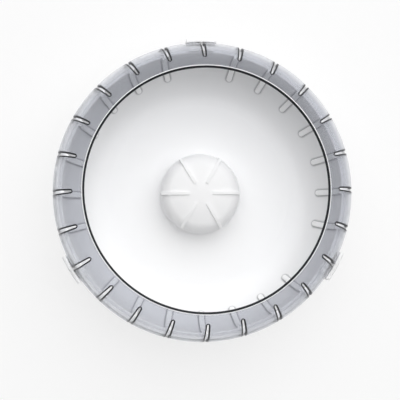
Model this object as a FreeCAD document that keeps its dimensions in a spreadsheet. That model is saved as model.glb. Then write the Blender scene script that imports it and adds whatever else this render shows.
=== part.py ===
"""Exercise wheel for a small rodent: a white bowl and a smoke-clear slotted ring on two ball bearings.

Millimetres. The wheel's axis is +Z, with the open side up. The origin is on that axis, in the rear face of
the round plate that screws to a cage wall.
"""

import FreeCAD, Part
import Sketcher
import math
import os
from types import SimpleNamespace
from FreeCAD import Placement, Rotation, Vector

# Driving sizes in millimetres, degrees or counts.
SIZES = {
    # Clear front cover.
    "cover_radius": 110.0,
    "cover_depth": 50.0,
    "cover_wall": 2.0,
    "opening_radius": 85.75,
    "lip_bead_radius": 1.5,
    "skirt_band": 4.0,
    "slots_per_clip": 8,
    "slot_mouth_width": 2.7,
    "slot_end_width": 1.3,
    "slot_margin": 9.45,
    "snap_bead_radius": 0.6,
    "snap_bead_height": 2.5,
    "snap_clearance": 0.15,
    # White back shell.
    "shell_depth": 39.0,
    "shell_wall": 2.6,
    "rim_wall": 4.6,
    "rim_edge_round": 0.8,
    "rim_overlap": 6.0,
    "rim_clearance": 0.15,
    "flange_thickness": 2.5,
    "rib_width": 4.0,
    "rib_height": 1.8,
    "rib_edge_round": 0.9,
    "rib_sink": 0.3,
    "rib_run_angle": 49.0,
    "rib_head_height": 3.5,
    "rib_head_round": 1.5,
    "key_clearance": 0.25,
    "key_setback": 0.5,
    # Hub of the back shell.
    "pedestal_spread": 1.5,
    "pedestal_wall": 2.4,
    "pedestal_foot": 2.0,
    "pedestal_deck": 2.5,
    "tube_wall": 3.0,
    "tube_setback": 0.5,
    "tube_shoulder": 1.6,
    "webs_per_leg": 2,
    "web_thickness": 2.0,
    "web_setback": 3.0,
    "join_depth": 0.5,
    # Lock clips.
    "clip_count": 3,
    "clip_width_angle": 11.4,
    "clip_plate": 2.9,
    "clip_height": 12.0,
    "clip_clearance": 0.3,
    "clip_round": 1.0,
    "hook_clearance": 1.0,
    "hook_thickness": 2.4,
    "neck_height": 5.0,
    "pad_width_angle": 9.4,
    "pad_height": 4.5,
    "pad_setback": 0.8,
    # Hub cap.
    "cap_radius": 30.0,
    "cap_overhang": 1.5,
    "cap_headroom": 1.5,
    "cap_wall": 2.0,
    "cap_band": 1.0,
    "dome_radius": 90.0,
    "cap_edge_round": 9.5,
    "fin_count": 6,
    "fin_width": 2.2,
    "fin_start_radius": 8.5,
    "fin_step": 0.7,
    "fin_drop": 4.5,
    "fin_crown_radius": 45.0,
    "leg_count": 3,
    "leg_inset": 2.6,
    "leg_thickness": 1.8,
    "leg_width_angle": 16.0,
    "leg_hook": 0.8,
    "leg_tip": 3.0,
    "leg_clearance": 0.2,
    # Ball bearings.
    "bearing_bore_radius": 4.0,
    "bearing_outer_radius": 11.0,
    "bearing_width": 7.0,
    "bearing_seat_clearance": 0.03,
    "bearing_recess": 0.5,
    "pitch_radius": 7.5,
    "ball_count": 7,
    "ball_radius": 1.985,
    "race_clearance": 0.05,
    "outer_land_radius": 8.9,
    "inner_land_radius": 6.05,
    "cage_inside_radius": 6.9,
    "cage_outside_radius": 8.1,
    "cage_rim": 0.4,
    "cage_clearance": 0.1,
    "shield_thickness": 0.3,
    "shield_recess": 0.3,
    "shield_gap": 0.25,
    "shield_seat_clearance": 0.03,
    # Spindle and its nut.
    "spacer_length": 1.5,
    "spacer_wall": 1.9,
    "shank_clearance": 0.03,
    "washer_radius": 6.0,
    "washer_thickness": 1.0,
    "hex_across_flats": 13.0,
    "head_height": 5.3,
    "nut_height": 8.0,
    "insert_height": 2.2,
    "insert_wall": 1.0,
    "insert_clearance": 0.05,
    "bolt_end": 1.5,
    "bolt_end_bevel": 0.8,
    # Wall plate.
    "plate_radius": 45.0,
    "plate_thickness": 5.0,
    "plate_edge_round": 2.0,
    "running_gap": 4.0,
    "boss_lead": 0.5,
    "race_land_height": 1.3,
    "boss_wall": 3.0,
    "boss_foot": 1.2,
    "head_recess": 0.7,
    "head_clearance": 0.15,
    "screw_count": 3,
    "screw_inset": 10.0,
    "screw_hole_radius": 2.25,
    "screw_sink_radius": 4.5,
}

# Degrees. Every ring of clips, slots, legs, screws and balls starts at +Y, so the YZ plane mirrors the part.
FIRST_ANGLE = 90.0
FULL_TURN = 360.0
HALF_TURN = 180.0
COUNTERSINK_ANGLE = 90.0


class Length:
    """A size as a number and as the sheet formula that gives the same number."""

    def __init__(self, number, formula):
        self.number = number
        self.formula = formula

    def __add__(self, other):
        return combined(self, "+", other, float.__add__)

    def __sub__(self, other):
        return combined(self, "-", other, float.__sub__)

    def __rsub__(self, other):
        return combined(other, "-", self, float.__sub__)

    def __mul__(self, other):
        return combined(self, "*", other, float.__mul__)

    def __truediv__(self, other):
        return combined(self, "/", other, float.__truediv__)

    def __rtruediv__(self, other):
        return combined(other, "/", self, float.__truediv__)

    def __neg__(self):
        return Length(-self.number, f"(-{self.formula})")

    __radd__ = __add__
    __rmul__ = __mul__


def as_length(value):
    return value if isinstance(value, Length) else Length(float(value), repr(value))


def combined(left, sign, right, work):
    left = as_length(left)
    right = as_length(right)
    return Length(work(left.number, right.number), f"({left.formula} {sign} {right.formula})")


def root(square):
    return Length(math.sqrt(square.number), f"sqrt({square.formula})")


def larger(first, second):
    return Length(max(first.number, second.number), f"max({first.formula}; {second.formula})")


def cosine(angle):
    return Length(math.cos(math.radians(angle.number)), f"cos({angle.formula})")


def sine(angle):
    return Length(math.sin(math.radians(angle.number)), f"sin({angle.formula})")


doc = FreeCAD.newDocument("ExerciseWheel")
sheet = doc.addObject("Spreadsheet::Sheet", "Sizes")
for row, (alias, value) in enumerate(SIZES.items(), start=1):
    sheet.set(f"A{row}", alias)
    sheet.set(f"B{row}", str(value))
    sheet.setAlias(f"B{row}", alias)
doc.recompute()
size = SimpleNamespace(**{name: Length(float(value), f"Sizes.{name}") for name, value in SIZES.items()})

# Heights above the wall, from the plate up.
shell_back = size.plate_thickness + size.running_gap
boss_top = shell_back + size.boss_lead
boss_shoulder = boss_top - size.race_land_height
bowl_floor = shell_back + size.shell_wall
seat = shell_back + size.shell_depth
flange_under = seat - size.flange_thickness
rim_top = seat + size.rim_overlap
lip_top = seat + size.cover_depth
rear_bearing = boss_top
spacer_rear = rear_bearing + size.bearing_width
front_bearing = spacer_rear + size.spacer_length
washer_rear = front_bearing + size.bearing_width
nut_rear = washer_rear + size.washer_thickness
bolt_top = nut_rear + size.nut_height + size.bolt_end
deck_top = washer_rear + size.bearing_recess
deck_bottom = deck_top - size.pedestal_deck

# Radii that several pieces share.
skirt_inside = size.cover_radius - size.cover_wall
rim_outside = skirt_inside - size.rim_clearance
bowl_inside = rim_outside - size.rim_wall
bowl_curve = flange_under - bowl_floor
floor_radius = bowl_inside - bowl_curve
outer_curve = bowl_curve + size.shell_wall
flange_root = bowl_inside + size.shell_wall
bearing_seat = size.bearing_outer_radius + size.bearing_seat_clearance
tube_outside = bearing_seat + size.tube_wall
shank_radius = size.bearing_bore_radius - size.shank_clearance
thread_radius = shank_radius + size.shank_clearance
pedestal_top = size.cap_radius - size.cap_overhang
pedestal_base = pedestal_top + size.pedestal_spread
leg_outside = size.cap_radius - size.cap_wall - size.leg_inset
leg_inside = leg_outside - size.leg_thickness

# The slots, the ribs behind them and the clips share one even pattern round the rim.
slot_count = size.slots_per_clip * size.clip_count
slot_pitch = FULL_TURN / slot_count
clip_pitch = FULL_TURN / size.clip_count
snap_height = seat + size.snap_bead_height
slot_end = size.opening_radius + size.slot_margin
slot_mouth = size.cover_radius + size.join_depth
slot_flare = (size.slot_mouth_width - size.slot_end_width) / (slot_mouth - slot_end)
key_width = size.slot_mouth_width - slot_flare * (slot_mouth - skirt_inside) - 2 * size.key_clearance


def new_body(name):
    body = doc.addObject("PartDesign::Body", name)
    body.Label = name
    return body


def origin_part(body, role):
    return next(part for part in body.Origin.OriginFeatures if part.Role == role)


def sketch_on(body, name, plane, turn=None, lift=None):
    """A sketch on one of the body's origin planes, turned about the wheel's axis and lifted along it."""
    sketch = body.newObject("Sketcher::SketchObject", name)
    sketch.AttachmentSupport = (origin_part(body, plane), [""])
    sketch.MapMode = "FlatFace"
    upright = Vector(0, 1, 0) if plane == "XZ_Plane" else Vector(0, 0, 1)
    if turn is not None:
        sketch.AttachmentOffset = Placement(Vector(), Rotation(upright, turn.number))
        sketch.setExpression("AttachmentOffset.Rotation.Angle", turn.formula)
    if lift is not None:
        sketch.setExpression("AttachmentOffset.Base.z", lift.formula)
    return sketch


def pin(sketch, edge, end, across, along):
    """Holds one end of an edge at a distance across and along the sketch, both bound to the sheet."""
    for kind, axis, distance in (("DistanceX", -2, across), ("DistanceY", -1, along)):
        distance = as_length(distance)
        if distance.number == 0:
            sketch.addConstraint(Sketcher.Constraint("PointOnObject", edge, end, axis))
            continue
        ends = (-1, 1, edge, end) if distance.number > 0 else (edge, end, -1, 1)
        forward = distance if distance.number > 0 else -distance
        index = sketch.addConstraint(Sketcher.Constraint(kind, *ends, forward.number))
        sketch.setExpression(f"Constraints[{index}]", forward.formula)


def arc_between(start, end, radius, turns_left):
    """The short arc from start to end, as a sketch holds it, and whether it runs from end to start there."""
    chord = end - start
    middle = (start + end) * 0.5
    reach = math.sqrt(max(radius**2 - (chord.Length / 2) ** 2, 0.0))
    sideways = Vector(-chord.y, chord.x, 0).normalize() * (reach if turns_left else -reach)
    centre = middle + sideways
    first, last = (start, end) if turns_left else (end, start)
    angles = [math.atan2(point.y - centre.y, point.x - centre.x) for point in (first, last)]
    circle = Part.Circle(centre, Vector(0, 0, 1), radius)
    return Part.ArcOfCircle(circle, *angles), not turns_left


def draw(sketch, corners, closed=True):
    """Draws an outline. A corner is (across, along), plus (radius, "left" or "right") before an arc."""
    count = len(corners)
    points = [Vector(as_length(c[0]).number, as_length(c[1]).number, 0) for c in corners]
    edges = []
    for index in range(count if closed else count - 1):
        start = points[index]
        end = points[(index + 1) % count]
        if len(corners[index]) == 2:
            edge = sketch.addGeometry(Part.LineSegment(start, end))
            edges.append((edge, 1, 2))
            continue
        radius, side = corners[index][2]
        arc, swapped = arc_between(start, end, radius.number, side == "left")
        edge = sketch.addGeometry(arc)
        limit = sketch.addConstraint(Sketcher.Constraint("Radius", edge, radius.number))
        sketch.setExpression(f"Constraints[{limit}]", radius.formula)
        edges.append((edge, 2, 1) if swapped else (edge, 1, 2))
    for index, (edge, start_end, far_end) in enumerate(edges):
        pin(sketch, edge, start_end, corners[index][0], corners[index][1])
        if closed or index + 1 < len(edges):
            following, following_start, _ = edges[(index + 1) % len(edges)]
            sketch.addConstraint(Sketcher.Constraint("Coincident", edge, far_end, following, following_start))
        else:
            pin(sketch, edge, far_end, corners[-1][0], corners[-1][1])


def draw_circle(sketch, across, along, radius):
    centre = Vector(as_length(across).number, as_length(along).number, 0)
    edge = sketch.addGeometry(Part.Circle(centre, Vector(0, 0, 1), radius.number))
    pin(sketch, edge, 3, across, along)
    limit = sketch.addConstraint(Sketcher.Constraint("Radius", edge, radius.number))
    sketch.setExpression(f"Constraints[{limit}]", radius.formula)


def hexagon(across_flats):
    """Corners of a hexagon about the axis, with two flats facing the sketch's second direction."""
    corner = across_flats / math.sqrt(3)
    half = corner / 2
    flat = across_flats / 2
    return [(corner, 0), (half, flat), (-half, flat), (-corner, 0), (-half, -flat), (half, -flat)]


def turned(body, name, corners, kind="Revolution", angle=None, turn=None, own_axis=False):
    """Revolves radii and heights, all round or over an angle centred on the sketch's plane.

    The axis is the wheel's, or the line that closes the outline if it has its own.
    """
    sketch = sketch_on(body, name + "_outline", "XZ_Plane", turn)
    if isinstance(corners, tuple):
        draw_circle(sketch, *corners)
    else:
        draw(sketch, corners)
    feature = body.newObject("PartDesign::" + kind, name)
    feature.Profile = sketch
    feature.ReferenceAxis = (sketch, [f"Edge{len(corners)}" if own_axis else "V_Axis"])
    feature.Angle = FULL_TURN
    if angle is not None:
        feature.Midplane = True
        feature.setExpression("Angle", angle.formula)
    body.Tip = feature
    return feature


def plate_on_edge(body, name, corners, thickness, turn=None):
    """Pads an outline of radii and heights to both sides of its plane through the axis."""
    sketch = sketch_on(body, name + "_outline", "XZ_Plane", turn)
    draw(sketch, corners)
    feature = body.newObject("PartDesign::Pad", name)
    feature.Profile = sketch
    feature.SideType = "Symmetric"
    feature.setExpression("Length", thickness.formula)
    body.Tip = feature
    return feature


def repeated(body, name, features, count, angle=None):
    """A polar pattern about the axis, all round or with its last copy at an angle from the first."""
    pattern = body.newObject("PartDesign::PolarPattern", name)
    pattern.Originals = features
    pattern.Axis = (origin_part(body, "Z_Axis"), [""])
    pattern.Angle = FULL_TURN
    if angle is not None:
        pattern.setExpression("Angle", angle.formula)
    pattern.setExpression("Occurrences", count.formula)
    body.Tip = pattern
    return pattern


def make_wall_plate():
    """Round plate that screws to the cage wall. Its boss takes the bolt's head and backs a bearing."""
    body = new_body("wall_plate")
    boss_radius = size.hex_across_flats / math.sqrt(3) + size.head_clearance + size.boss_wall
    turned(body, "plate_disc", [
        (shank_radius + 2 * size.shank_clearance, 0),
        (size.plate_radius, 0),
        (size.plate_radius, size.plate_thickness - size.plate_edge_round, (size.plate_edge_round, "left")),
        (size.plate_radius - size.plate_edge_round, size.plate_thickness),
        (boss_radius + size.boss_foot, size.plate_thickness, (size.boss_foot, "right")),
        (boss_radius, size.plate_thickness + size.boss_foot),
        (boss_radius, boss_shoulder),
        (size.inner_land_radius, boss_shoulder),
        (size.inner_land_radius, boss_top),
        (shank_radius + 2 * size.shank_clearance, boss_top),
    ])
    pocket_sketch = sketch_on(body, "head_pocket_outline", "XY_Plane")
    draw(pocket_sketch, hexagon(size.hex_across_flats + 2 * size.head_clearance))
    pocket = body.newObject("PartDesign::Pocket", "head_pocket")
    pocket.Profile = pocket_sketch
    pocket.Reversed = True
    pocket.setExpression("Length", (size.head_recess + size.head_height).formula)
    body.Tip = pocket
    doc.recompute()
    first = as_length(FIRST_ANGLE)
    hole_sketch = sketch_on(body, "screw_hole_centre", "XY_Plane", first, size.plate_thickness)
    draw_circle(hole_sketch, size.plate_radius - size.screw_inset, 0, size.screw_hole_radius)
    hole = body.newObject("PartDesign::Hole", "screw_hole")
    hole.Profile = hole_sketch
    hole.DepthType = "ThroughAll"
    hole.setExpression("Diameter", (2 * size.screw_hole_radius).formula)
    hole.HoleCutType = "Countersink"
    hole.HoleCutCountersinkAngle = COUNTERSINK_ANGLE
    hole.setExpression("HoleCutDiameter", (2 * size.screw_sink_radius).formula)
    body.Tip = hole
    repeated(body, "screw_holes", [hole], size.screw_count)
    return body


def make_spindle_bolt():
    """Hexagon-headed bolt, head down in the plate, that carries both bearings."""
    body = new_body("spindle_bolt")
    head_sketch = sketch_on(body, "head_outline", "XY_Plane", lift=size.head_recess)
    draw(head_sketch, hexagon(size.hex_across_flats))
    head = body.newObject("PartDesign::Pad", "head")
    head.Profile = head_sketch
    head.setExpression("Length", size.head_height.formula)
    body.Tip = head
    turned(body, "shank", [
        (0, size.head_recess + size.head_height / 2),
        (shank_radius, size.head_recess + size.head_height / 2),
        (shank_radius, bolt_top - size.bolt_end_bevel),
        (shank_radius - size.bolt_end_bevel, bolt_top),
        (0, bolt_top),
    ])
    return body


def make_tube(name, inside, outside, bottom, height):
    """Plain turned sleeve or washer."""
    body = new_body(name)
    top = bottom + height
    turned(body, name + "_ring", [(inside, bottom), (outside, bottom), (outside, top), (inside, top)])
    return body


def make_lock_nut():
    """Hexagon nut whose top is bored out for a nylon ring."""
    body = new_body("lock_nut")
    outline = sketch_on(body, "nut_outline", "XY_Plane", lift=nut_rear)
    draw(outline, hexagon(size.hex_across_flats))
    block = body.newObject("PartDesign::Pad", "nut_block")
    block.Profile = outline
    block.setExpression("Length", size.nut_height.formula)
    body.Tip = block
    nut_top = nut_rear + size.nut_height
    pocket_radius = thread_radius + size.insert_wall + size.insert_clearance
    turned(body, "nut_bore", [
        (0, nut_rear),
        (thread_radius, nut_rear),
        (thread_radius, nut_top - size.insert_height),
        (pocket_radius, nut_top - size.insert_height),
        (pocket_radius, nut_top),
        (0, nut_top),
    ], "Groove")
    return body


def make_bearing(side, bottom):
    """Deep-groove ball bearing: two rings, a cage with its balls, and a shield on each face."""
    top = bottom + size.bearing_width
    middle = bottom + size.bearing_width / 2
    groove = size.ball_radius + size.race_clearance
    outer_reach = size.outer_land_radius - size.pitch_radius
    inner_reach = size.pitch_radius - size.inner_land_radius
    outer_half = root(groove * groove - outer_reach * outer_reach)
    inner_half = root(groove * groove - inner_reach * inner_reach)

    outer = new_body(side + "_bearing_outer_ring")
    turned(outer, side + "_outer_race", [
        (size.outer_land_radius, bottom),
        (size.bearing_outer_radius, bottom),
        (size.bearing_outer_radius, top),
        (size.outer_land_radius, top),
        (size.outer_land_radius, middle + outer_half, (groove, "right")),
        (size.outer_land_radius, middle - outer_half),
    ])
    inner = new_body(side + "_bearing_inner_ring")
    turned(inner, side + "_inner_race", [
        (size.bearing_bore_radius, bottom),
        (size.inner_land_radius, bottom),
        (size.inner_land_radius, middle - inner_half, (groove, "right")),
        (size.inner_land_radius, middle + inner_half),
        (size.inner_land_radius, top),
        (size.bearing_bore_radius, top),
    ])
    pocket_radius = size.ball_radius + size.cage_clearance
    cage_width = 2 * (pocket_radius + size.cage_rim)
    cage_bottom = middle - cage_width / 2
    cage = make_tube(
        side + "_bearing_cage", size.cage_inside_radius, size.cage_outside_radius, cage_bottom, cage_width
    )
    pocket_sketch = sketch_on(cage, side + "_pocket_outline", "XZ_Plane")
    draw_circle(pocket_sketch, 0, middle, pocket_radius)
    pocket = cage.newObject("PartDesign::Pocket", side + "_ball_pocket")
    pocket.Profile = pocket_sketch
    pocket.setExpression("Length", size.bearing_outer_radius.formula)
    cage.Tip = pocket
    repeated(cage, side + "_ball_pockets", [pocket], size.ball_count)
    balls = [make_ball(f"{side}_ball_{index + 1}", middle, index) for index in range(SIZES["ball_count"])]
    ball_set = doc.addObject("Part::Compound", side + "_bearing_balls")
    ball_set.Links = balls
    shield_inside = size.inner_land_radius + size.shield_gap
    shield_outside = size.outer_land_radius - size.shield_seat_clearance
    shields = doc.addObject("Part::Compound", side + "_bearing_shields")
    shields.Links = [
        make_tube(f"{side}_shield_{face}", shield_inside, shield_outside, height, size.shield_thickness)
        for face, height in (
            ("rear", bottom + size.shield_recess),
            ("front", top - size.shield_recess - size.shield_thickness),
        )
    ]
    return [outer, inner, cage, ball_set, shields]


def make_ball(name, height, index):
    """One of the balls that stand evenly round a bearing's pitch circle."""
    ball = doc.addObject("Part::Sphere", name)
    ball.setExpression("Radius", size.ball_radius.formula)
    angle = FIRST_ANGLE + index * FULL_TURN / size.ball_count
    ball.setExpression("Placement.Base.x", (size.pitch_radius * cosine(angle)).formula)
    ball.setExpression("Placement.Base.y", (size.pitch_radius * sine(angle)).formula)
    ball.setExpression("Placement.Base.z", height.formula)
    return ball


def make_back_shell():
    """White bowl: quarter-round wall, upright rim that seats the cover, ribs and a hub with a tube."""
    body = new_body("back_shell")
    spread = size.pedestal_spread
    cone_height = deck_top - bowl_floor
    cone_length = root(cone_height * cone_height + spread * spread)
    foot_curve = size.pedestal_foot * (cone_length + spread) / cone_height
    shoulder = bearing_seat - size.tube_shoulder

    def cone_inside(height):
        return pedestal_base - size.pedestal_wall - spread * (height - bowl_floor) / cone_height

    turned(body, "shell_wall", [
        (bowl_inside + size.rim_edge_round, rim_top),
        (rim_outside, rim_top),
        (rim_outside, seat),
        (size.cover_radius, seat),
        (size.cover_radius, flange_under),
        (flange_root, flange_under, (outer_curve, "right")),
        (floor_radius, shell_back),
        (cone_inside(shell_back), shell_back),
        (cone_inside(deck_bottom), deck_bottom),
        (tube_outside, deck_bottom),
        (tube_outside, boss_top + size.tube_setback),
        (bearing_seat, boss_top + size.tube_setback),
        (bearing_seat, spacer_rear),
        (shoulder, spacer_rear),
        (shoulder, front_bearing),
        (bearing_seat, front_bearing),
        (bearing_seat, deck_top),
        (pedestal_top, deck_top),
        (
            pedestal_base - size.pedestal_foot * spread / cone_length,
            bowl_floor + size.pedestal_foot * cone_height / cone_length,
            (foot_curve, "left"),
        ),
        (pedestal_base + size.pedestal_foot, bowl_floor),
        (floor_radius, bowl_floor, (bowl_curve, "left")),
        (bowl_inside, flange_under),
        (bowl_inside, rim_top - size.rim_edge_round, (size.rim_edge_round, "right")),
    ])
    snap_groove = size.snap_bead_radius + size.snap_clearance
    turned(body, "snap_groove", (skirt_inside, snap_height, snap_groove), "Groove")

    web_count = size.webs_per_leg * size.leg_count
    web_rear = shell_back + size.web_setback
    web = plate_on_edge(body, "hub_web", [
        (tube_outside - size.join_depth, web_rear),
        (cone_inside(web_rear) + size.join_depth, web_rear),
        (cone_inside(deck_bottom) + size.join_depth, deck_bottom + size.join_depth),
        (tube_outside - size.join_depth, deck_bottom + size.join_depth),
    ], size.web_thickness, FIRST_ANGLE + FULL_TURN / web_count / 2)
    repeated(body, "hub_webs", [web], web_count)

    window_inside = leg_inside - size.leg_hook - size.leg_clearance
    window_outside = leg_outside + size.leg_clearance
    window_angle = size.leg_width_angle + FULL_TURN * size.leg_clearance / (math.pi * leg_inside)
    window = turned(body, "leg_window", [
        (window_inside, deck_bottom - size.join_depth),
        (window_outside, deck_bottom - size.join_depth),
        (window_outside, deck_top + size.join_depth),
        (window_inside, deck_top + size.join_depth),
    ], "Groove", window_angle, as_length(FIRST_ANGLE))
    repeated(body, "leg_windows", [window], size.leg_count)

    add_ribs(body)
    return body


def add_ribs(body):
    """Flat-topped ribs down the bowl wall, one behind each slot that no clip uses.

    Each has a round lower end, and its head stands up from the rim into the slot's mouth.
    """
    wall = bowl_inside
    rib_root = wall + size.rim_edge_round + size.rib_sink
    half_width = size.rib_width / 2
    half_flat = half_width - size.rib_edge_round
    shoulder = size.rib_height - size.rib_edge_round
    run_cos = cosine(size.rib_run_angle)
    run_sin = sine(size.rib_run_angle)
    end = (floor_radius + bowl_curve * run_cos, flange_under - bowl_curve * run_sin)
    head_top = rim_top + size.rib_head_height
    head_inside = wall - size.rib_height + size.rib_sink
    key_end = size.cover_radius - size.key_setback
    copies = size.slots_per_clip - 1

    def past_end(along, above):
        """A point down the wall from where the rib's straight sides end, and above the wall's surface."""
        return end[0] - along * run_sin - above * run_cos, end[1] - along * run_cos + above * run_sin

    for sector in range(SIZES["clip_count"]):
        turn = FIRST_ANGLE + sector * clip_pitch + slot_pitch
        section = sketch_on(body, f"rib_section_{sector + 1}", "XY_Plane", turn, rim_top)
        draw(section, [
            (rib_root, -half_width),
            (rib_root, half_width),
            (wall - shoulder, half_width, (size.rib_edge_round, "left")),
            (wall - size.rib_height, half_flat),
            (wall - size.rib_height, -half_flat, (size.rib_edge_round, "left")),
            (wall - shoulder, -half_width),
        ])
        path = sketch_on(body, f"rib_path_{sector + 1}", "XZ_Plane", turn)
        draw(path, [(wall, rim_top), (wall, flange_under, (bowl_curve, "right")), end], closed=False)
        rib = body.newObject("PartDesign::AdditivePipe", f"rib_{sector + 1}")
        rib.Profile = section
        rib.Spine = (path, ["Edge1", "Edge2"])
        body.Tip = rib
        round_end = turned(body, f"rib_end_{sector + 1}", [
            past_end(0, -size.rib_sink),
            past_end(half_width, -size.rib_sink),
            (*past_end(half_width, shoulder), (size.rib_edge_round, "right")),
            past_end(half_flat, size.rib_height),
            past_end(0, size.rib_height),
        ], angle=as_length(HALF_TURN), turn=turn, own_axis=True)
        head = plate_on_edge(body, f"rib_head_{sector + 1}", [
            (head_inside, rim_top - size.join_depth),
            (rim_outside - size.join_depth, rim_top - size.join_depth),
            (rim_outside - size.join_depth, rim_top),
            (key_end, rim_top),
            (key_end, head_top - size.rib_head_round, (size.rib_head_round, "left")),
            (key_end - size.rib_head_round, head_top),
            (head_inside + size.rib_head_round, head_top, (size.rib_head_round, "left")),
            (head_inside, head_top - size.rib_head_round),
        ], key_width, turn)
        repeated(body, f"ribs_{sector + 1}", [rib, round_end, head], copies, (copies - 1) * slot_pitch)


def make_front_cover():
    """Smoke-clear ring: a round lip, an arched wall, and a slotted skirt that snaps over the bowl's rim."""
    body = new_body("front_cover")
    equator = seat + size.skirt_band
    lip_radius = size.opening_radius + size.lip_bead_radius
    lip_height = lip_top - size.lip_bead_radius
    inset = size.cover_radius - lip_radius
    rise = lip_height - equator
    half_wall = size.cover_wall / 2
    outer_arch = (inset * inset + rise * rise - half_wall * half_wall) / (2 * inset - size.cover_wall)
    middle_arch = outer_arch - half_wall
    outward = (outer_arch - inset) / middle_arch
    upward = rise / middle_arch
    inner_arch = outer_arch - size.cover_wall
    turned(body, "cover_wall", [
        (skirt_inside, seat),
        (size.cover_radius, seat),
        (size.cover_radius, equator, (outer_arch, "left")),
        (lip_radius + half_wall * outward, lip_height + half_wall * upward),
        (lip_radius - half_wall * outward, lip_height - half_wall * upward, (inner_arch, "right")),
        (skirt_inside, equator),
    ])
    turned(body, "lip_bead", (lip_radius, lip_height, size.lip_bead_radius))
    turned(body, "snap_bead", (skirt_inside, snap_height, size.snap_bead_radius))

    outline = sketch_on(body, "slot_outline", "XY_Plane", as_length(FIRST_ANGLE), seat - size.join_depth)
    end_half = size.slot_end_width / 2
    mouth_half = size.slot_mouth_width / 2
    side_slope = slot_flare / 2
    end_round = end_half * root(1 + side_slope * side_slope)
    side_start = slot_end + end_round - end_half * side_slope
    draw(outline, [
        (side_start, -end_half),
        (slot_mouth, -mouth_half),
        (slot_mouth, mouth_half),
        (side_start, end_half, (end_round, "left")),
    ])
    slot = body.newObject("PartDesign::Pocket", "slot")
    slot.Profile = outline
    slot.Reversed = True
    slot.setExpression("Length", size.cover_depth.formula)
    body.Tip = slot
    repeated(body, "slots", [slot], slot_count)
    return body


def make_lock_clip(name, index):
    """Clip through a slot without a rib: a plate outside the skirt, a neck in the slot and a pad on the rim.

    The plate's lower edge hooks under the flange that the cover sits on.
    """
    body = new_body(name)
    face = size.cover_radius + size.clip_clearance
    outside = face + size.clip_plate
    hook_inside = flange_root + size.hook_clearance
    hook_bottom = flange_under - size.hook_thickness
    clip_top = seat + size.clip_height
    pad_outside = skirt_inside - size.pad_setback
    pad_top = rim_top + size.pad_height
    turned(body, "clip_plate", [
        (hook_inside, hook_bottom),
        (outside - size.clip_round, hook_bottom, (size.clip_round, "left")),
        (outside, hook_bottom + size.clip_round),
        (outside, clip_top - size.clip_round, (size.clip_round, "left")),
        (outside - size.clip_round, clip_top),
        (face, clip_top),
        (face, flange_under),
        (hook_inside, flange_under),
    ], angle=size.clip_width_angle)
    plate_on_edge(body, "clip_neck", [
        (pad_outside - size.join_depth, pad_top - size.neck_height + size.join_depth),
        (face + size.join_depth, pad_top - size.neck_height + size.join_depth),
        (face + size.join_depth, pad_top),
        (pad_outside - size.join_depth, pad_top),
    ], key_width)
    turned(body, "clip_pad", [
        (bowl_inside + size.pad_setback, rim_top),
        (pad_outside, rim_top),
        (pad_outside, pad_top),
        (bowl_inside + size.pad_setback, pad_top),
    ], angle=size.pad_width_angle)
    angle = FIRST_ANGLE + index * clip_pitch.number
    body.Placement = Placement(Vector(), Rotation(Vector(0, 0, 1), angle))
    return body


def make_hub_cap():
    """Domed cap with a rounded edge and raised fins, held on the hub by hooked legs."""
    body = new_body("hub_cap")
    dome = size.dome_radius
    edge = size.cap_edge_round
    edge_centre = size.cap_radius - edge
    edge_span = root((dome - edge) * (dome - edge) - edge_centre * edge_centre)
    top_over_bolt = bolt_top + size.cap_headroom + size.cap_wall
    top_over_band = deck_top + size.cap_band + dome - edge_span
    cap_top = larger(top_over_bolt, top_over_band)
    dome_centre = cap_top - dome
    band_top = dome_centre + edge_span
    inside = size.cap_radius - size.cap_wall

    def dome_end(below):
        """Where the dome, a distance below its outside, runs into the rounded edge."""
        share = (dome - below) / (dome - edge)
        return edge_centre * share, dome_centre + edge_span * share

    def dome_height(radius, below):
        surface = dome - below
        return dome_centre + root(surface * surface - radius * radius)

    turned(body, "cap_dome", [
        (inside, deck_top),
        (size.cap_radius, deck_top),
        (size.cap_radius, band_top, (edge, "left")),
        (*dome_end(0), (dome, "left")),
        (0, cap_top),
        (0, cap_top - size.cap_wall, (dome - size.cap_wall, "right")),
        (*dome_end(size.cap_wall), (edge - size.cap_wall, "right")),
        (inside, band_top),
    ])
    half_wall = size.cap_wall / 2
    fin = plate_on_edge(body, "fin", [
        (size.fin_start_radius, dome_height(size.fin_start_radius, half_wall), (dome - half_wall, "right")),
        (*dome_end(half_wall), (edge - half_wall, "right")),
        (size.cap_radius - half_wall, band_top),
        (size.cap_radius, band_top),
        (size.cap_radius, cap_top - size.fin_drop, (size.fin_crown_radius, "left")),
        (size.fin_start_radius, dome_height(size.fin_start_radius, -size.fin_step)),
    ], size.fin_width)
    repeated(body, "fins", [fin], size.fin_count)
    leg_top = dome_height(leg_outside, half_wall)
    catch = deck_bottom - size.leg_clearance
    leg = turned(body, "leg", [
        (leg_inside, catch - size.leg_tip),
        (leg_outside - size.leg_hook, catch - size.leg_tip),
        (leg_outside + size.leg_hook, catch),
        (leg_outside, catch),
        (leg_outside, leg_top),
        (leg_inside, leg_top),
    ], angle=size.leg_width_angle, turn=as_length(FIRST_ANGLE))
    repeated(body, "legs", [leg], size.leg_count)
    return body


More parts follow.
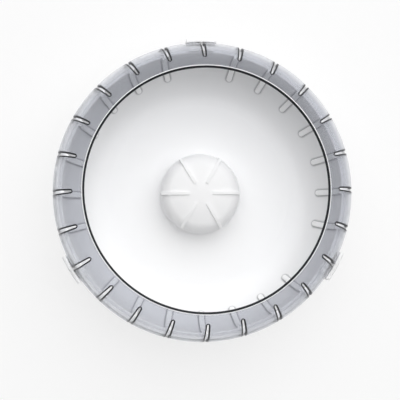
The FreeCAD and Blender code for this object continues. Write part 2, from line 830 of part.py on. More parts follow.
nodes = [
    make_wall_plate(),
    make_spindle_bolt(),
    make_tube(
        "bearing_spacer",
        size.bearing_bore_radius + size.shank_clearance,
        size.bearing_bore_radius + size.spacer_wall,
        spacer_rear,
        size.spacer_length,
    ),
    make_tube(
        "spindle_washer",
        size.bearing_bore_radius + size.shank_clearance,
        size.washer_radius,
        washer_rear,
        size.washer_thickness,
    ),
    make_lock_nut(),
    make_tube(
        "lock_nut_insert",
        thread_radius,
        thread_radius + size.insert_wall,
        nut_rear + size.nut_height - size.insert_height,
        size.insert_height,
    ),
    make_back_shell(),
    make_front_cover(),
    make_hub_cap(),
]
nodes += make_bearing("rear", rear_bearing)
nodes += make_bearing("front", front_bearing)
nodes += [make_lock_clip(f"lock_clip_{index + 1}", index) for index in range(SIZES["clip_count"])]

doc.recompute()
for item in doc.Objects:
    if "Invalid" in item.State or "Error" in item.State:
        raise RuntimeError(f"{item.Label} failed: {item.State}")
for node in nodes:
    if node.Shape.isNull() or not node.Shape.isValid() or not node.Shape.Solids:
        raise RuntimeError(f"{node.Label} has no valid solid")

os.makedirs("parts", exist_ok=True)
for node in nodes:
    node.Shape.exportStep(os.path.join("parts", node.Label + ".step"))
    print(f"{node.Label}: {len(node.Shape.Solids)} solids, {node.Shape.Volume:.1f} mm3")
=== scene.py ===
"""Exercise wheel for a small rodent, dressed over its CAD frame and lit as a product photo."""

import math

import bmesh
import bpy
import numpy as np
from mathutils import Matrix, Vector


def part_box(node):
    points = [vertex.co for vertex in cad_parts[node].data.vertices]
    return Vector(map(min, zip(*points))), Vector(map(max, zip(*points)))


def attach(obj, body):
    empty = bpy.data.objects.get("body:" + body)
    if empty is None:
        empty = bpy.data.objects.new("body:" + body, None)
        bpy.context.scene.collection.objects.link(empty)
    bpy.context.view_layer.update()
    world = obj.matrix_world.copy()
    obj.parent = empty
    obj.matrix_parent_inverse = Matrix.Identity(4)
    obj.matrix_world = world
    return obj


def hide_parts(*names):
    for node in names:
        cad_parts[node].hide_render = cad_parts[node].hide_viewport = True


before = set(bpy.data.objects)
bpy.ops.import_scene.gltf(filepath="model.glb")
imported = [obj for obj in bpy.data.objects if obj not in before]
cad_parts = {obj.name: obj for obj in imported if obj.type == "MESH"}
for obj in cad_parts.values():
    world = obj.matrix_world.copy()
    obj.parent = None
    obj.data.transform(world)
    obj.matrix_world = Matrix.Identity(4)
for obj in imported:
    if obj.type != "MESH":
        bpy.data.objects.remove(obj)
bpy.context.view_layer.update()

# Wall plate: a round moulded plate that screws to the cage wall and carries the spindle.
# White plastic with a fine spark-eroded grain, moulded in one piece with its boss.


class Amount:
    """An output in a node tree. Sums, products and the like of these add Math nodes to the tree."""

    def __init__(self, nodes, socket):
        self.nodes = nodes
        self.socket = socket

    def math(self, operation, *others):
        terms = dict(enumerate((self, *others)))
        return self.nodes.node("ShaderNodeMath", {"operation": operation}, terms)

    def __add__(self, other):
        return self.math("ADD", other)

    def __sub__(self, other):
        return self.math("SUBTRACT", other)

    def __rsub__(self, other):
        return self.nodes.node("ShaderNodeMath", {"operation": "SUBTRACT"}, {0: other, 1: self})

    def __mul__(self, other):
        return self.math("MULTIPLY", other)

    def __truediv__(self, other):
        return self.math("DIVIDE", other)

    def __pow__(self, other):
        return self.math("POWER", other)

    __radd__ = __add__
    __rmul__ = __mul__


class Nodes:
    """A node tree. Its node method adds any node and hands back one of that node's outputs."""

    def __init__(self, tree):
        self.tree = tree

    def node(self, kind, settings=None, inputs=None, output=0):
        made = self.tree.nodes.new(kind)
        for name, value in (settings or {}).items():
            setattr(made, name, value)
        for name, value in (inputs or {}).items():
            if isinstance(value, Amount):
                self.tree.links.new(value.socket, made.inputs[name])
            else:
                made.inputs[name].default_value = value
        return Amount(self, made.outputs[output])


class Finish(Nodes):
    """The nodes of a material, or of the world."""

    def __init__(self, owner):
        owner.use_nodes = True
        super().__init__(owner.node_tree)
        self.owner = owner
        self.tree.nodes.clear()

    def noise(self, scale, detail=2.0):
        place = self.node("ShaderNodeTexCoord", output="Object")
        inputs = {"Vector": place, "Scale": scale, "Detail": detail}
        return self.node("ShaderNodeTexNoise", None, inputs, "Fac")

    def between(self, limits, share):
        """A value that goes from the first limit to the second as a share goes from 0 to 1."""
        low, high = limits
        return low + (high - low) * share

    def mixed(self, share, first, second):
        """Two colours mixed by a share. The node's colours are its sockets 6 and 7 and output 2."""
        inputs = {"Factor": share, 6: first, 7: second}
        return self.node("ShaderNodeMix", {"data_type": "RGBA"}, inputs, 2)

    def bump(self, height, strength, depth):
        inputs = {"Height": height, "Strength": strength, "Distance": depth}
        return self.node("ShaderNodeBump", None, inputs)

    def surface(self, **sockets):
        """A Principled shader. Its sockets are named in small letters with underscores."""
        inputs = {}
        for name, value in sockets.items():
            inputs[name.replace("_", " ").title().replace("Ior", "IOR")] = value
        return self.node("ShaderNodeBsdfPrincipled", None, inputs)

    def mixed_shaders(self, share, first, second):
        return self.node("ShaderNodeMixShader", None, {0: share, 1: first, 2: second})

    def done(self, surface, kind="ShaderNodeOutputMaterial"):
        out = self.tree.nodes.new(kind)
        self.tree.links.new(surface.socket, out.inputs["Surface"])
        return self.owner


def new_finish(name):
    return Finish(bpy.data.materials.new(name))


def dress(material, *names):
    """Gives CAD nodes, as they stand, a new material."""
    for name in names:
        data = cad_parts[name].data
        data.materials.clear()
        data.materials.append(material)


PLATE_WHITE = (0.86, 0.86, 0.865, 1.0)
PLATE_WHITE_DEEP = (0.83, 0.83, 0.84, 1.0)
PLATE_ROUGHNESS = (0.50, 0.62)
PLATE_CLOUD_PER_METRE = 40.0
PLATE_GRAIN_PER_METRE = 2600.0
PLATE_GRAIN_STRENGTH = 0.25
PLATE_GRAIN_DEPTH = 0.0002


def grained_white():
    finish = new_finish("grained_white_plastic")
    grain = finish.noise(PLATE_GRAIN_PER_METRE)
    cloud = finish.noise(PLATE_CLOUD_PER_METRE)
    return finish.done(finish.surface(
        base_color=finish.mixed(cloud, PLATE_WHITE_DEEP, PLATE_WHITE),
        roughness=finish.between(PLATE_ROUGHNESS, grain),
        normal=finish.bump(grain, PLATE_GRAIN_STRENGTH, PLATE_GRAIN_DEPTH),
    ))


dress(grained_white(), "wall_plate")

# Spindle: an M8 hexagon bolt with a spacer sleeve, a washer and a self-locking nut.
# Bright zinc-plated steel with drawn and turned marks; the nut's locking ring is natural nylon.

ZINC = (0.62, 0.63, 0.66, 1.0)
ZINC_DULL = (0.50, 0.51, 0.54, 1.0)
ZINC_ROUGHNESS = (0.22, 0.38)
SPANGLE_PER_METRE = 900.0
SPANGLE_DETAIL = 4.0
TURNED_MARKS_PER_METRE = 5200.0
TURNED_MARKS_DETAIL = 1.0
TURNED_MARKS_STRENGTH = 0.12
TURNED_MARKS_DEPTH = 0.00008


def zinc_plate():
    finish = new_finish("bright_zinc")
    spangle = finish.noise(SPANGLE_PER_METRE, SPANGLE_DETAIL)
    marks = finish.noise(TURNED_MARKS_PER_METRE, TURNED_MARKS_DETAIL)
    return finish.done(finish.surface(
        base_color=finish.mixed(spangle, ZINC_DULL, ZINC),
        metallic=1.0,
        roughness=finish.between(ZINC_ROUGHNESS, spangle),
        normal=finish.bump(marks, TURNED_MARKS_STRENGTH, TURNED_MARKS_DEPTH),
    ))


NYLON = (0.78, 0.79, 0.80, 1.0)
NYLON_DEEP = (0.70, 0.71, 0.74, 1.0)
NYLON_ROUGHNESS = (0.38, 0.48)
NYLON_CLOUD_PER_METRE = 300.0
NYLON_CLOUD_DETAIL = 3.0
NYLON_CLOUD_STRENGTH = 0.1
NYLON_CLOUD_DEPTH = 0.0001


def natural_nylon():
    finish = new_finish("natural_nylon")
    cloud = finish.noise(NYLON_CLOUD_PER_METRE, NYLON_CLOUD_DETAIL)
    return finish.done(finish.surface(
        base_color=finish.mixed(cloud, NYLON_DEEP, NYLON),
        roughness=finish.between(NYLON_ROUGHNESS, cloud),
        normal=finish.bump(cloud, NYLON_CLOUD_STRENGTH, NYLON_CLOUD_DEPTH),
    ))


dress(zinc_plate(), "spindle_bolt", "bearing_spacer", "spindle_washer", "lock_nut")
dress(natural_nylon(), "lock_nut_insert")

# Two shielded ball bearings: ground and polished rings and balls, pressed sheet cages and shields.
# The outer rings are pushed into the shell's tube, the inner rings on the bolt.

RING_STEEL = (0.66, 0.67, 0.69, 1.0)
RING_STEEL_DULL = (0.58, 0.59, 0.62, 1.0)
RING_ROUGHNESS = (0.08, 0.16)
GRINDING_PER_METRE = 3600.0
GRINDING_DETAIL = 1.0


def ground_steel():
    finish = new_finish("ground_steel")
    marks = finish.noise(GRINDING_PER_METRE, GRINDING_DETAIL)
    return finish.done(finish.surface(
        base_color=finish.mixed(marks, RING_STEEL_DULL, RING_STEEL),
        metallic=1.0,
        roughness=finish.between(RING_ROUGHNESS, marks),
    ))


SHEET_STEEL = (0.50, 0.51, 0.53, 1.0)
SHEET_STEEL_DULL = (0.42, 0.43, 0.45, 1.0)
SHEET_ROUGHNESS = (0.30, 0.45)
ROLLING_PER_METRE = 1500.0
ROLLING_DETAIL = 3.0
ROLLING_STRENGTH = 0.1
ROLLING_DEPTH = 0.00005


def pressed_sheet():
    finish = new_finish("pressed_sheet")
    marks = finish.noise(ROLLING_PER_METRE, ROLLING_DETAIL)
    return finish.done(finish.surface(
        base_color=finish.mixed(marks, SHEET_STEEL_DULL, SHEET_STEEL),
        metallic=1.0,
        roughness=finish.between(SHEET_ROUGHNESS, marks),
        normal=finish.bump(marks, ROLLING_STRENGTH, ROLLING_DEPTH),
    ))


bearing_steel = ground_steel()
cage_steel = pressed_sheet()
for side in ("rear", "front"):
    for piece in ("outer_ring", "inner_ring", "balls"):
        dress(bearing_steel, f"{side}_bearing_{piece}")
    for piece in ("cage", "shields"):
        dress(cage_steel, f"{side}_bearing_{piece}")

# Back shell: the white bowl that is the back of the wheel and half of its track.
# Semi-gloss moulded plastic, ribs and hub moulded in, pushed over the two bearings.

SHELL_WHITE = (0.90, 0.90, 0.90, 1.0)
SHELL_WHITE_DEEP = (0.88, 0.88, 0.885, 1.0)
SHELL_ROUGHNESS = (0.32, 0.42)
SHELL_CLOUD_PER_METRE = 25.0
SHELL_RIPPLE_PER_METRE = 160.0
SHELL_RIPPLE_STRENGTH = 0.04
SHELL_RIPPLE_DEPTH = 0.0004
POLISH_IOR = 2.0


def moulded_white(name, whites=(SHELL_WHITE_DEEP, SHELL_WHITE), marks=(), polish=None, soak=0.0):
    """White plastic, clouded from the first white to the second.

    Marks are pairs of a function that gives a share of the surface, and that part's colour. Polish
    is such a function for the part that has a gloss. Soak is how far light goes into the plastic.
    """
    finish = new_finish(name)
    ripple = finish.noise(SHELL_RIPPLE_PER_METRE)
    colour = finish.mixed(finish.noise(SHELL_CLOUD_PER_METRE), *whites)
    for share, mark_colour in marks:
        colour = finish.mixed(share(finish), colour, mark_colour)
    return finish.done(finish.surface(
        base_color=colour,
        roughness=finish.between(SHELL_ROUGHNESS, ripple),
        coat_weight=polish(finish) if polish else 0.0,
        coat_ior=POLISH_IOR,
        subsurface_weight=1.0 if soak else 0.0,
        subsurface_radius=(1.0, 1.0, 1.0),
        subsurface_scale=soak,
        normal=finish.bump(ripple, SHELL_RIPPLE_STRENGTH, SHELL_RIPPLE_DEPTH),
    ))


def point_place(finish):
    """The X, Y and Z of a point on the surface."""
    place = finish.node("ShaderNodeTexCoord", output="Object")
    return [finish.node("ShaderNodeSeparateXYZ", None, {"Vector": place}, axis) for axis in "XYZ"]


def hypotenuse(first, second):
    return (first * first + second * second) ** 0.5


def fading(finish, distance, width):
    """One at no distance, and nought from a width on."""
    return finish.node(
        "ShaderNodeMapRange",
        {"interpolation_type": "SMOOTHSTEP"},
        {"Value": distance, "From Max": width, "To Min": 1.0, "To Max": 0.0},
    )


BOWL_INSIDE = 0.10325
BOWL_CURVE = 0.0339
CURVE_TOP = 0.0455
FLOOR_RADIUS = BOWL_INSIDE - BOWL_CURVE
RIB_PITCH = math.radians(15)
RIB_RUN = math.radians(49)
RIB_HALF_WIDTH = 0.002
RIB_HEIGHT = 0.0018
CLIP_PITCH = math.radians(120)
FIRST_CLIP = math.radians(90)


def rib_place(finish):
    """Distance out of the nearest rib's outline, height over the wall, and one where a rib is."""
    x, y, height = point_place(finish)
    radius = hypotenuse(x, y)
    turn = y.math("ARCTAN2", x)
    outward = radius - FLOOR_RADIUS
    below = (CURVE_TOP - height).math("MAXIMUM", 0.0)
    past_run = ((below.math("ARCTAN2", outward) - RIB_RUN) * BOWL_CURVE).math("MAXIMUM", 0.0)
    across = turn.math("PINGPONG", RIB_PITCH / 2) * radius
    beside = hypotenuse(across, past_run) - RIB_HALF_WIDTH
    over_wall = BOWL_CURVE - hypotenuse(outward, below)
    from_clip = (turn - FIRST_CLIP).math("PINGPONG", CLIP_PITCH / 2)
    return beside, over_wall, from_clip.math("GREATER_THAN", RIB_PITCH / 2)


# Painted shade: the ribs' creases are drawn as grey lines.
CREASE_WIDTH = 0.002
CREASE_PAINTED_SHADE = (0.45, 0.45, 0.46, 1.0)


def painted_rib_crease_shade(finish):
    """Painted shade: a grey line where the ribs' sides and round ends meet the bowl's wall, for the
    shade in those creases.
    """
    beside, over_wall, has_rib = rib_place(finish)
    by_side = fading(finish, beside.math("ABSOLUTE"), CREASE_WIDTH)
    return by_side * fading(finish, over_wall.math("ABSOLUTE"), CREASE_WIDTH) * has_rib


# Painted highlight: the ribs' tops are given a lighter white than the wall.
RIB_TOP_PAINTED_LIGHT = (0.96, 0.96, 0.96, 1.0)


def rib_tops(finish):
    """The tops of the ribs, painted a lighter white as a highlight."""
    beside, over_wall, has_rib = rib_place(finish)
    high = over_wall.math("GREATER_THAN", RIB_HEIGHT / 2)
    return beside.math("LESS_THAN", 0.0) * high * has_rib


RIM_TOP = 0.054
RIM_ROUND = 0.0008
RIM_TOP_BLEND = RIM_ROUND / 4
RIM_EDGE_DEPTH = 2 * RIM_ROUND
# Painted shade: the rim's flat top is given a darker grey.
RIM_TOP_PAINTED_SHADE = (0.80, 0.80, 0.81, 1.0)
# Painted highlight: the round of the rim's inner edge is given a whiter colour.
RIM_EDGE_PAINTED_HIGHLIGHT = (0.97, 0.97, 0.97, 1.0)


def rim_top_band(finish):
    """The flat top of the rim, painted a darker grey as shade."""
    x, y, height = point_place(finish)
    on_flat = hypotenuse(x, y).math("GREATER_THAN", BOWL_INSIDE + RIM_ROUND)
    return on_flat * fading(finish, RIM_TOP - height, RIM_TOP_BLEND)


def rim_edge(finish):
    """The round of the rim's inner edge, with a gloss coat and a whiter colour that is a painted
    highlight.
    """
    x, y, height = point_place(finish)
    on_round = hypotenuse(x, y).math("LESS_THAN", BOWL_INSIDE + RIM_ROUND)
    return on_round * fading(finish, RIM_TOP - height, RIM_EDGE_DEPTH)


# Of these marks, the creases and the rim's flat top are painted shade, and the rib tops and the
# rim's inner edge are painted highlights.
shell_marks = [
    (painted_rib_crease_shade, CREASE_PAINTED_SHADE),
    (rib_tops, RIB_TOP_PAINTED_LIGHT),
    (rim_top_band, RIM_TOP_PAINTED_SHADE),
    (rim_edge, RIM_EDGE_PAINTED_HIGHLIGHT),
]
dress(moulded_white("moulded_white_shell", marks=shell_marks, polish=rim_edge), "back_shell")

# Front cover: the smoke-clear ring that is the track's front half, snapped over the bowl's rim.
# Moulded clear plastic with a rolled lip; its slots end in a round and open at the skirt's edge.
# A small bead inside the skirt holds it in the rim's groove.

cover_low, cover_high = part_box("front_cover")
COVER_RADIUS = cover_high[0]
COVER_SEAT = cover_low[2]
COVER_LIP = cover_high[2]
COVER_WALL = 0.002
OPENING_RADIUS = 0.08575
LIP_BEAD = 0.0015
SKIRT_BAND = 0.004
SNAP_BEAD = 0.0006
SNAP_HEIGHT = 0.0025
SLOT_COUNT = 24
SLOT_END_RADIUS = 0.0952
SLOT_END_WIDTH = 0.0013
SLOT_MOUTH_WIDTH = 0.0027
SLOT_MOUTH_RADIUS = 0.1105
EDGE_BAND = 0.00105


def slot_half_width(radius, spread=0.0):
    """Half the slot's width at a distance from the axis, with its outline spread outwards."""
    half_end = SLOT_END_WIDTH / 2
    round_centre = SLOT_END_RADIUS + half_end
    if radius >= round_centre:
        flare = (SLOT_MOUTH_WIDTH / 2 - half_end) / (SLOT_MOUTH_RADIUS - round_centre)
        return half_end + spread + flare * (radius - round_centre)
    return math.sqrt(max((half_end + spread) ** 2 - (radius - round_centre) ** 2, 0.0))


SNAP_ROWS = 7
ARCH_ROWS = 18
END_ROWS = 7
NECK_ROWS = 5
BEAD_ROWS = 40
ROWS_BEFORE_END = 4.0
ROWS_PAST_END = 1.2


def cover_profile():
    """The wall's outline as (radius, height) pairs: outside up, over the lip, and inside up."""
    half = COVER_WALL / 2
    lip_radius = OPENING_RADIUS + LIP_BEAD
    lip_height = COVER_LIP - LIP_BEAD
    equator = COVER_SEAT + SKIRT_BAND
    inset = COVER_RADIUS - lip_radius
    rise = lip_height - equator
    outer_arch = (inset**2 + rise**2 - half**2) / (2 * inset - COVER_WALL)
    centre = COVER_RADIUS - outer_arch
    middle = outer_arch - half
    outward = Vector(((lip_radius - centre) / middle, rise / middle))
    onward = Vector((-outward.y, outward.x))
    meet = math.acos(half / LIP_BEAD)

    def arch(radius):
        """Rows up one face of the wall, closest together round the slot's closed end."""
        tip = math.acos((SLOT_END_RADIUS - centre) / radius)
        lead = EDGE_BAND / (radius * math.sin(tip))
        before = tip - ROWS_BEFORE_END * lead
        past = tip + ROWS_PAST_END * lead
        last = math.atan2(outward.y, outward.x) - LIP_BEAD * math.sin(meet) / radius
        turns = list(np.linspace(0.0, before, ARCH_ROWS))
        turns += list(np.linspace(before, past, END_ROWS + 1)[1:])
        turns += list(np.linspace(past, last, NECK_ROWS)[1:-1])
        return [(centre + radius * math.cos(t), equator + radius * math.sin(t)) for t in turns]

    skirt = [(0.0, COVER_SEAT)]
    for turn in np.linspace(0.0, math.pi, SNAP_ROWS):
        height = COVER_SEAT + SNAP_HEIGHT - SNAP_BEAD * math.cos(turn)
        skirt.append((SNAP_BEAD * math.sin(turn), height))
    outside = [(COVER_RADIUS, height) for _, height in skirt] + arch(outer_arch)
    inside = [(COVER_RADIUS - COVER_WALL - bulge, height) for bulge, height in skirt]
    inside += arch(outer_arch - COVER_WALL)
    bead = []
    for turn in np.linspace(-meet, math.pi + meet, BEAD_ROWS):
        around = math.cos(turn) * outward + math.sin(turn) * onward
        bead.append((lip_radius + LIP_BEAD * around.x, lip_height + LIP_BEAD * around.y))
    return outside, bead, inside


PANEL_COLUMNS = 9
PANEL_MERGE = 1e-6
PANEL_SLIVER = 1e-7
# The lip's inner band takes the painted dark edge, and the band beyond it takes the painted
# highlight.
LIP_DARK_WIDTH = 0.0015
LIP_BRIGHT_WIDTH = 0.0006
FINISH_NUMBER = "cut_edge"
CLEAR_NUMBER, DARK_NUMBER, BRIGHT_NUMBER = range(3)


def lip_number(from_edge):
    """The number of a lip face's finish, by its distance from the opening's edge."""
    if from_edge < LIP_DARK_WIDTH:
        return DARK_NUMBER
    return BRIGHT_NUMBER if from_edge < LIP_DARK_WIDTH + LIP_BRIGHT_WIDTH else CLEAR_NUMBER


def cover_panel(main_finish):
    """One panel of the cover, from the middle of a slot to the middle of the next, as a mesh."""
    outside, bead, inside = cover_profile()
    loop = outside + bead + inside[::-1]
    pitch = 2 * math.pi / SLOT_COUNT
    mesh = bmesh.new()
    number = mesh.faces.layers.int.new(FINISH_NUMBER)
    rows = []
    for radius, height in loop:
        slot = math.asin(slot_half_width(radius) / radius)
        band = math.asin(slot_half_width(radius, EDGE_BAND) / radius)
        turns = [slot, *np.linspace(band, pitch - band, PANEL_COLUMNS), pitch - slot]
        places = [(radius * math.cos(turn), radius * math.sin(turn), height) for turn in turns]
        rows.append([mesh.verts.new(place) for place in places])
    bead_start = len(outside)
    bead_last = bead_start + len(bead) - 1
    for index in range(len(loop)):
        following = (index + 1) % len(loop)
        row_number = CLEAR_NUMBER
        if bead_start <= index < bead_last:
            row_number = lip_number((loop[index][0] + loop[following][0]) / 2 - OPENING_RADIUS)
        for column in range(PANEL_COLUMNS + 1):
            near, far = rows[index], rows[following]
            face = mesh.faces.new((near[column], near[column + 1], far[column + 1], far[column]))
            # Faces along the slots' sides take the painted dark edge.
            by_slot = following < bead_start and column in (0, PANEL_COLUMNS)
            face[number] = DARK_NUMBER if by_slot else row_number
    for step in range(bead_start - 1):
        if loop[step + 1][0] < SLOT_END_RADIUS - EDGE_BAND:
            break
        inner = len(loop) - 1 - step
        around = (rows[step], rows[step + 1], rows[inner - 1], rows[inner])
        for column in (0, PANEL_COLUMNS + 1):
            face = mesh.faces.new([row[column] for row in around])
            face[number] = DARK_NUMBER
    bmesh.ops.remove_doubles(mesh, verts=mesh.verts, dist=PANEL_MERGE)
    bmesh.ops.dissolve_degenerate(mesh, edges=mesh.edges, dist=PANEL_SLIVER)
    panel = bpy.data.meshes.new("cover_panel")
    mesh.to_mesh(panel)
    mesh.free()
    panel.materials.append(main_finish)
    return panel


RING_INPUTS = {
    "Geometry": "NodeSocketGeometry",
    "Count": "NodeSocketInt",
    "First angle": "NodeSocketFloat",
    "Merge distance": "NodeSocketFloat",
}


def ring_tree(name, finishes):
    """A node tree that repeats a mesh round the axis and gives its faces the finish they number."""
    tree = bpy.data.node_groups.new(name, "GeometryNodeTree")
    for socket, kind in RING_INPUTS.items():
        tree.interface.new_socket(socket, in_out="INPUT", socket_type=kind)
    tree.interface.new_socket("Geometry", in_out="OUTPUT", socket_type="NodeSocketGeometry")
    ring = Nodes(tree)
    given = tree.nodes.new("NodeGroupInput").outputs
    panel, count, first_angle, merge = (Amount(ring, given[socket]) for socket in RING_INPUTS)
    points = ring.node("GeometryNodePoints", None, {"Count": count})
    angle = ring.node("GeometryNodeInputIndex") / count * (2 * math.pi) + first_angle
    turn = ring.node("ShaderNodeCombineXYZ", None, {"Z": angle})
    turned = ring.node("FunctionNodeEulerToRotation", None, {"Euler": turn})
    places = {"Points": points, "Instance": panel, "Rotation": turned}
    shown = ring.node("GeometryNodeInstanceOnPoints", None, places)
    shown = ring.node("GeometryNodeRealizeInstances", None, {"Geometry": shown})
    joining = {"Geometry": shown, "Distance": merge}
    shown = ring.node("GeometryNodeMergeByDistance", None, joining)
    for number, material in enumerate(finishes):
        painting = {"Geometry": shown, "Material": material}
        if number:
            whole = {"data_type": "INT"}
            face = ring.node("GeometryNodeInputNamedAttribute", whole, {"Name": FINISH_NUMBER})
            # A comparison of whole numbers has its two sides in sockets 2 and 3.
            equal = {"data_type": "INT", "operation": "EQUAL"}
            painting["Selection"] = ring.node("FunctionNodeCompare", equal, {2: face, 3: number})
        shown = ring.node("GeometryNodeSetMaterial", None, painting)
    out = tree.nodes.new("NodeGroupOutput")
    tree.links.new(shown.socket, out.inputs["Geometry"])
    return tree


SHARP_ANGLE = math.radians(35)


def repeat_round(name, mesh, tree, count, first_angle, merge):
    """Runs a ring tree on a mesh and returns the result as a plain object."""
    seed = bpy.data.objects.new(name + "_seed", mesh)
    bpy.context.collection.objects.link(seed)
    ring = seed.modifiers.new("ring", "NODES")
    ring.node_group = tree
    values = {"Count": count, "First angle": first_angle, "Merge distance": merge}
    for item in tree.interface.items_tree:
        if item.in_out == "INPUT" and item.name in values:
            ring[item.identifier] = values[item.name]
    evaluated = seed.evaluated_get(bpy.context.evaluated_depsgraph_get())
    made = bpy.data.meshes.new_from_object(evaluated)
    bpy.data.objects.remove(seed)
    work = bmesh.new()
    work.from_mesh(made)
    bmesh.ops.recalc_face_normals(work, faces=work.faces)
    work.to_mesh(made)
    work.free()
    made.name = name
    made.shade_smooth()
    made.set_sharp_from_angle(angle=SHARP_ANGLE)
    repeated = bpy.data.objects.new(name, made)
    bpy.context.collection.objects.link(repeated)
    return repeated


CLEAR_TINT = (0.98, 0.985, 0.995, 1.0)
SMOKE_TINT = (0.792, 0.80, 0.828, 1.0)
SMOKE_START = 0.068
SMOKE_END = 0.084
CLEAR_BODY = (0.82, 0.83, 0.857, 1.0)
CLEAR_ROUGHNESS = (0.06, 0.11)
CLEAR_IOR = 1.5
CLEAR_FLOW_PER_METRE = 55.0
BACK_LIT_SHARE = 0.5
BODY_SHARE = 0.03
FLOW_SHARE = 0.02
GLOSS_SHARE = 1.0
GLANCING_BLEND = 0.5
GLANCING_POWER = 3.5
LIGHT_PASSED = 0.85


def smoke_clear():
    """Clear plastic: tinted see-through, smokier toward the lip, with a grey body and a gloss."""
    finish = new_finish("smoke_clear_plastic")
    flow = finish.noise(CLEAR_FLOW_PER_METRE)
    height = point_place(finish)[2]
    smokiness = finish.node(
        "ShaderNodeMapRange",
        {"interpolation_type": "SMOOTHSTEP"},
        {"Value": height, "From Min": SMOKE_START, "From Max": SMOKE_END},
    )
    kept = 1 - LIGHT_PASSED * finish.node("ShaderNodeLightPath", output="Is Shadow Ray")
    clear = finish.node("ShaderNodeBsdfTransparent", None, {"Color": CLEAR_TINT})
    smoke = finish.node("ShaderNodeBsdfTransparent", None, {"Color": SMOKE_TINT})
    through = finish.mixed_shaders(kept * smokiness, clear, smoke)
    roughness = finish.between(CLEAR_ROUGHNESS, flow)
    front_lit = finish.surface(base_color=CLEAR_BODY, roughness=roughness, ior=CLEAR_IOR)
    back_lit = finish.node("ShaderNodeBsdfTranslucent", None, {"Color": CLEAR_BODY})
    body = finish.mixed_shaders(BACK_LIT_SHARE, front_lit, back_lit)
    glancing = finish.node("ShaderNodeLayerWeight", None, {"Blend": GLANCING_BLEND}, "Facing")
    share = BODY_SHARE + GLOSS_SHARE * glancing**GLANCING_POWER + FLOW_SHARE * flow
    return finish.done(finish.mixed_shaders(kept * share, through, body))


# Painted dark: nearly black colours stand for the dark look of the clear plastic's edges.
EDGE_PAINTED_DARK = (0.012, 0.013, 0.015, 1.0)
EDGE_PAINTED_DARK_SOFT = (0.03, 0.032, 0.037, 1.0)
EDGE_PALE = (0.42, 0.43, 0.45, 1.0)
EDGE_ROUGHNESS = (0.35, 0.45)
EDGE_SPECULAR = 0.12
MOUTH_FADE = 0.004


def painted_dark_edge():
    """Painted dark: the clear plastic's cut and moulded edges, whose dark look comes from light
    bent inside the plastic, given a nearly black colour, paler toward the slots' mouths.
    """
    finish = new_finish("smoke_clear_edge_painted_dark")
    flow = finish.noise(CLEAR_FLOW_PER_METRE)
    x, y, _ = point_place(finish)
    toward_mouth = fading(finish, COVER_RADIUS - hypotenuse(x, y), MOUTH_FADE)
    dark = finish.mixed(flow, EDGE_PAINTED_DARK, EDGE_PAINTED_DARK_SOFT)
    return finish.done(finish.surface(
        base_color=finish.mixed(toward_mouth, dark, EDGE_PALE),
        roughness=finish.between(EDGE_ROUGHNESS, flow),
        specular_ior_level=EDGE_SPECULAR,
    ))


# Painted highlight: a near-white band on the crown of the lip.
LIP_PAINTED_LIGHT = (0.93, 0.933, 0.945, 1.0)
LIP_PAINTED_LIGHT_DEEP = (0.87, 0.873, 0.885, 1.0)
LIP_ROUGHNESS = (0.15, 0.25)


def painted_lip_highlight():
    """Painted highlight: the crown of the lip's bead, where light carried along the clear wall
    comes out, given a near-white colour.
    """
    finish = new_finish("smoke_clear_lip_painted_highlight")
    flow = finish.noise(CLEAR_FLOW_PER_METRE)
    return finish.done(finish.surface(
        base_color=finish.mixed(flow, LIP_PAINTED_LIGHT_DEEP, LIP_PAINTED_LIGHT),
        roughness=finish.between(LIP_ROUGHNESS, flow),
    ))


SLOT_PHASE = math.pi / 2
RING_MERGE = 2e-6
# The cover's second and third finishes are the painted dark edges and the painted lip highlight.
cover_finishes = [smoke_clear(), painted_dark_edge(), painted_lip_highlight()]
front_cover = repeat_round(
    "front_cover_ring",
    cover_panel(cover_finishes[CLEAR_NUMBER]),
    ring_tree("cover_ring", cover_finishes),
    SLOT_COUNT,
    SLOT_PHASE,
    RING_MERGE,
)
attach(front_cover, "wheel")
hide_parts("front_cover")

# Lock clips: three white clips pushed through slots that have no rib behind them.
# Moulded in a whiter, slightly translucent plastic; each hooks under the rim's flange
# and locks the cover's fingers.

CLIP_WHITE = (0.97, 0.97, 0.97, 1.0)
CLIP_WHITE_DEEP = (0.95, 0.95, 0.955, 1.0)
CLIP_SOAK = 0.003

clip_whites = (CLIP_WHITE_DEEP, CLIP_WHITE)
clip_plastic = moulded_white("moulded_white_clip", whites=clip_whites, soak=CLIP_SOAK)
dress(clip_plastic, "lock_clip_1", "lock_clip_2", "lock_clip_3")

# Hub cap: the domed and finned cap that closes the hub over the nut.
# Moulded in the shell's plastic and snapped on by three legs.

dress(moulded_white("moulded_white_cap"), "hub_cap")

# Table: a plain white sweep that the wheel lies on, back down.
# It fills the picture, so it is only a large flat sheet.

TABLE_HALF = 3.0
TABLE_WHITE = (0.90, 0.90, 0.90, 1.0)
TABLE_ROUGHNESS = 0.9
TABLE_GLOW = 0.72
PURE_WHITE = (1.0, 1.0, 1.0, 1.0)


def seen_directly(finish):
    """One for rays from the camera, straight or by gloss or glass, and nought for the others."""
    kinds = ("Is Camera Ray", "Is Glossy Ray", "Is Transmission Ray")
    straight, glossy, glass = (finish.node("ShaderNodeLightPath", output=kind) for kind in kinds)
    return straight + glossy + glass


def table_white():
    finish = new_finish("table_white")
    sheet = finish.surface(base_color=TABLE_WHITE, roughness=TABLE_ROUGHNESS)
    glow = finish.node("ShaderNodeEmission", None, {"Color": PURE_WHITE, "Strength": 1.0})
    return finish.done(finish.mixed_shaders(TABLE_GLOW * seen_directly(finish), sheet, glow))


table_mesh = bpy.data.meshes.new("table")
corner_signs = ((-1, -1), (1, -1), (1, 1), (-1, 1))
corners = [(x * TABLE_HALF, y * TABLE_HALF, 0) for x, y in corner_signs]
table_mesh.from_pydata(corners, [], [(0, 1, 2, 3)])
table_mesh.materials.append(table_white())
table = bpy.data.objects.new("table", table_mesh)
bpy.context.collection.objects.link(table)

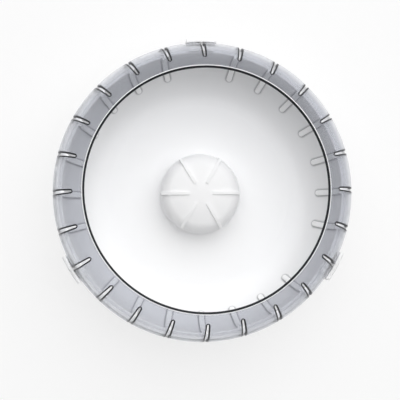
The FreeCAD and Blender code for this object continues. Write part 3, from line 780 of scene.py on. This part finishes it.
# Light: a pale room all round and one large soft lamp from the upper right.
# Together they bring white plastic to about its own colour.

WORLD_LEVEL = 0.15
LAMP_PLACE = Vector((0.28, 1.03, 2.04))
LAMP_SIZE = 4.2
LAMP_POWER = 85.0

world = Finish(bpy.data.worlds.new("pale_room"))
fill = world.node("ShaderNodeBackground", None, {"Color": PURE_WHITE, "Strength": WORLD_LEVEL})
white = world.node("ShaderNodeBackground", None, {"Color": PURE_WHITE, "Strength": 1.0})
room = world.mixed_shaders(seen_directly(world), fill, white)
bpy.context.scene.world = world.done(room, "ShaderNodeOutputWorld")
lamp_data = bpy.data.lights.new("soft_lamp", "AREA")
lamp_data.shape = "DISK"
lamp_data.size = LAMP_SIZE
lamp_data.energy = LAMP_POWER
lamp = bpy.data.objects.new("soft_lamp", lamp_data)
lamp.location = LAMP_PLACE
lamp.rotation_euler = (-LAMP_PLACE).to_track_quat("-Z", "Y").to_euler()
bpy.context.collection.objects.link(lamp)
bpy.context.scene.view_settings.view_transform = "Standard"

# Camera: nearly straight down into the open side, a little from the lower left.
# Its place and lens were worked out from the ring's circles at their known heights.

CAMERA_PLACE = Vector((-0.0637, -0.0378, 0.9339))
CAMERA_TARGET = Vector((-0.0026, -0.0060, 0.0600))
CAMERA_ROLL = math.radians(0.7)
CAMERA_LENS_MM = 107.94
SENSOR_MM = 36.0
CAMERA_NEAREST = 0.01

camera_data = bpy.data.cameras.new("camera")
camera_data.lens = CAMERA_LENS_MM
camera_data.sensor_width = SENSOR_MM
camera_data.clip_start = CAMERA_NEAREST
camera = bpy.data.objects.new("camera", camera_data)
toward = (CAMERA_TARGET - CAMERA_PLACE).normalized()
rolled_up = Vector((math.sin(CAMERA_ROLL), math.cos(CAMERA_ROLL), 0))
sideways = toward.cross(rolled_up).normalized()
upward = sideways.cross(toward)
camera_turn = Matrix((sideways, upward, -toward)).transposed().to_4x4()
camera.matrix_world = Matrix.Translation(CAMERA_PLACE) @ camera_turn
bpy.context.collection.objects.link(camera)
bpy.context.scene.camera = camera
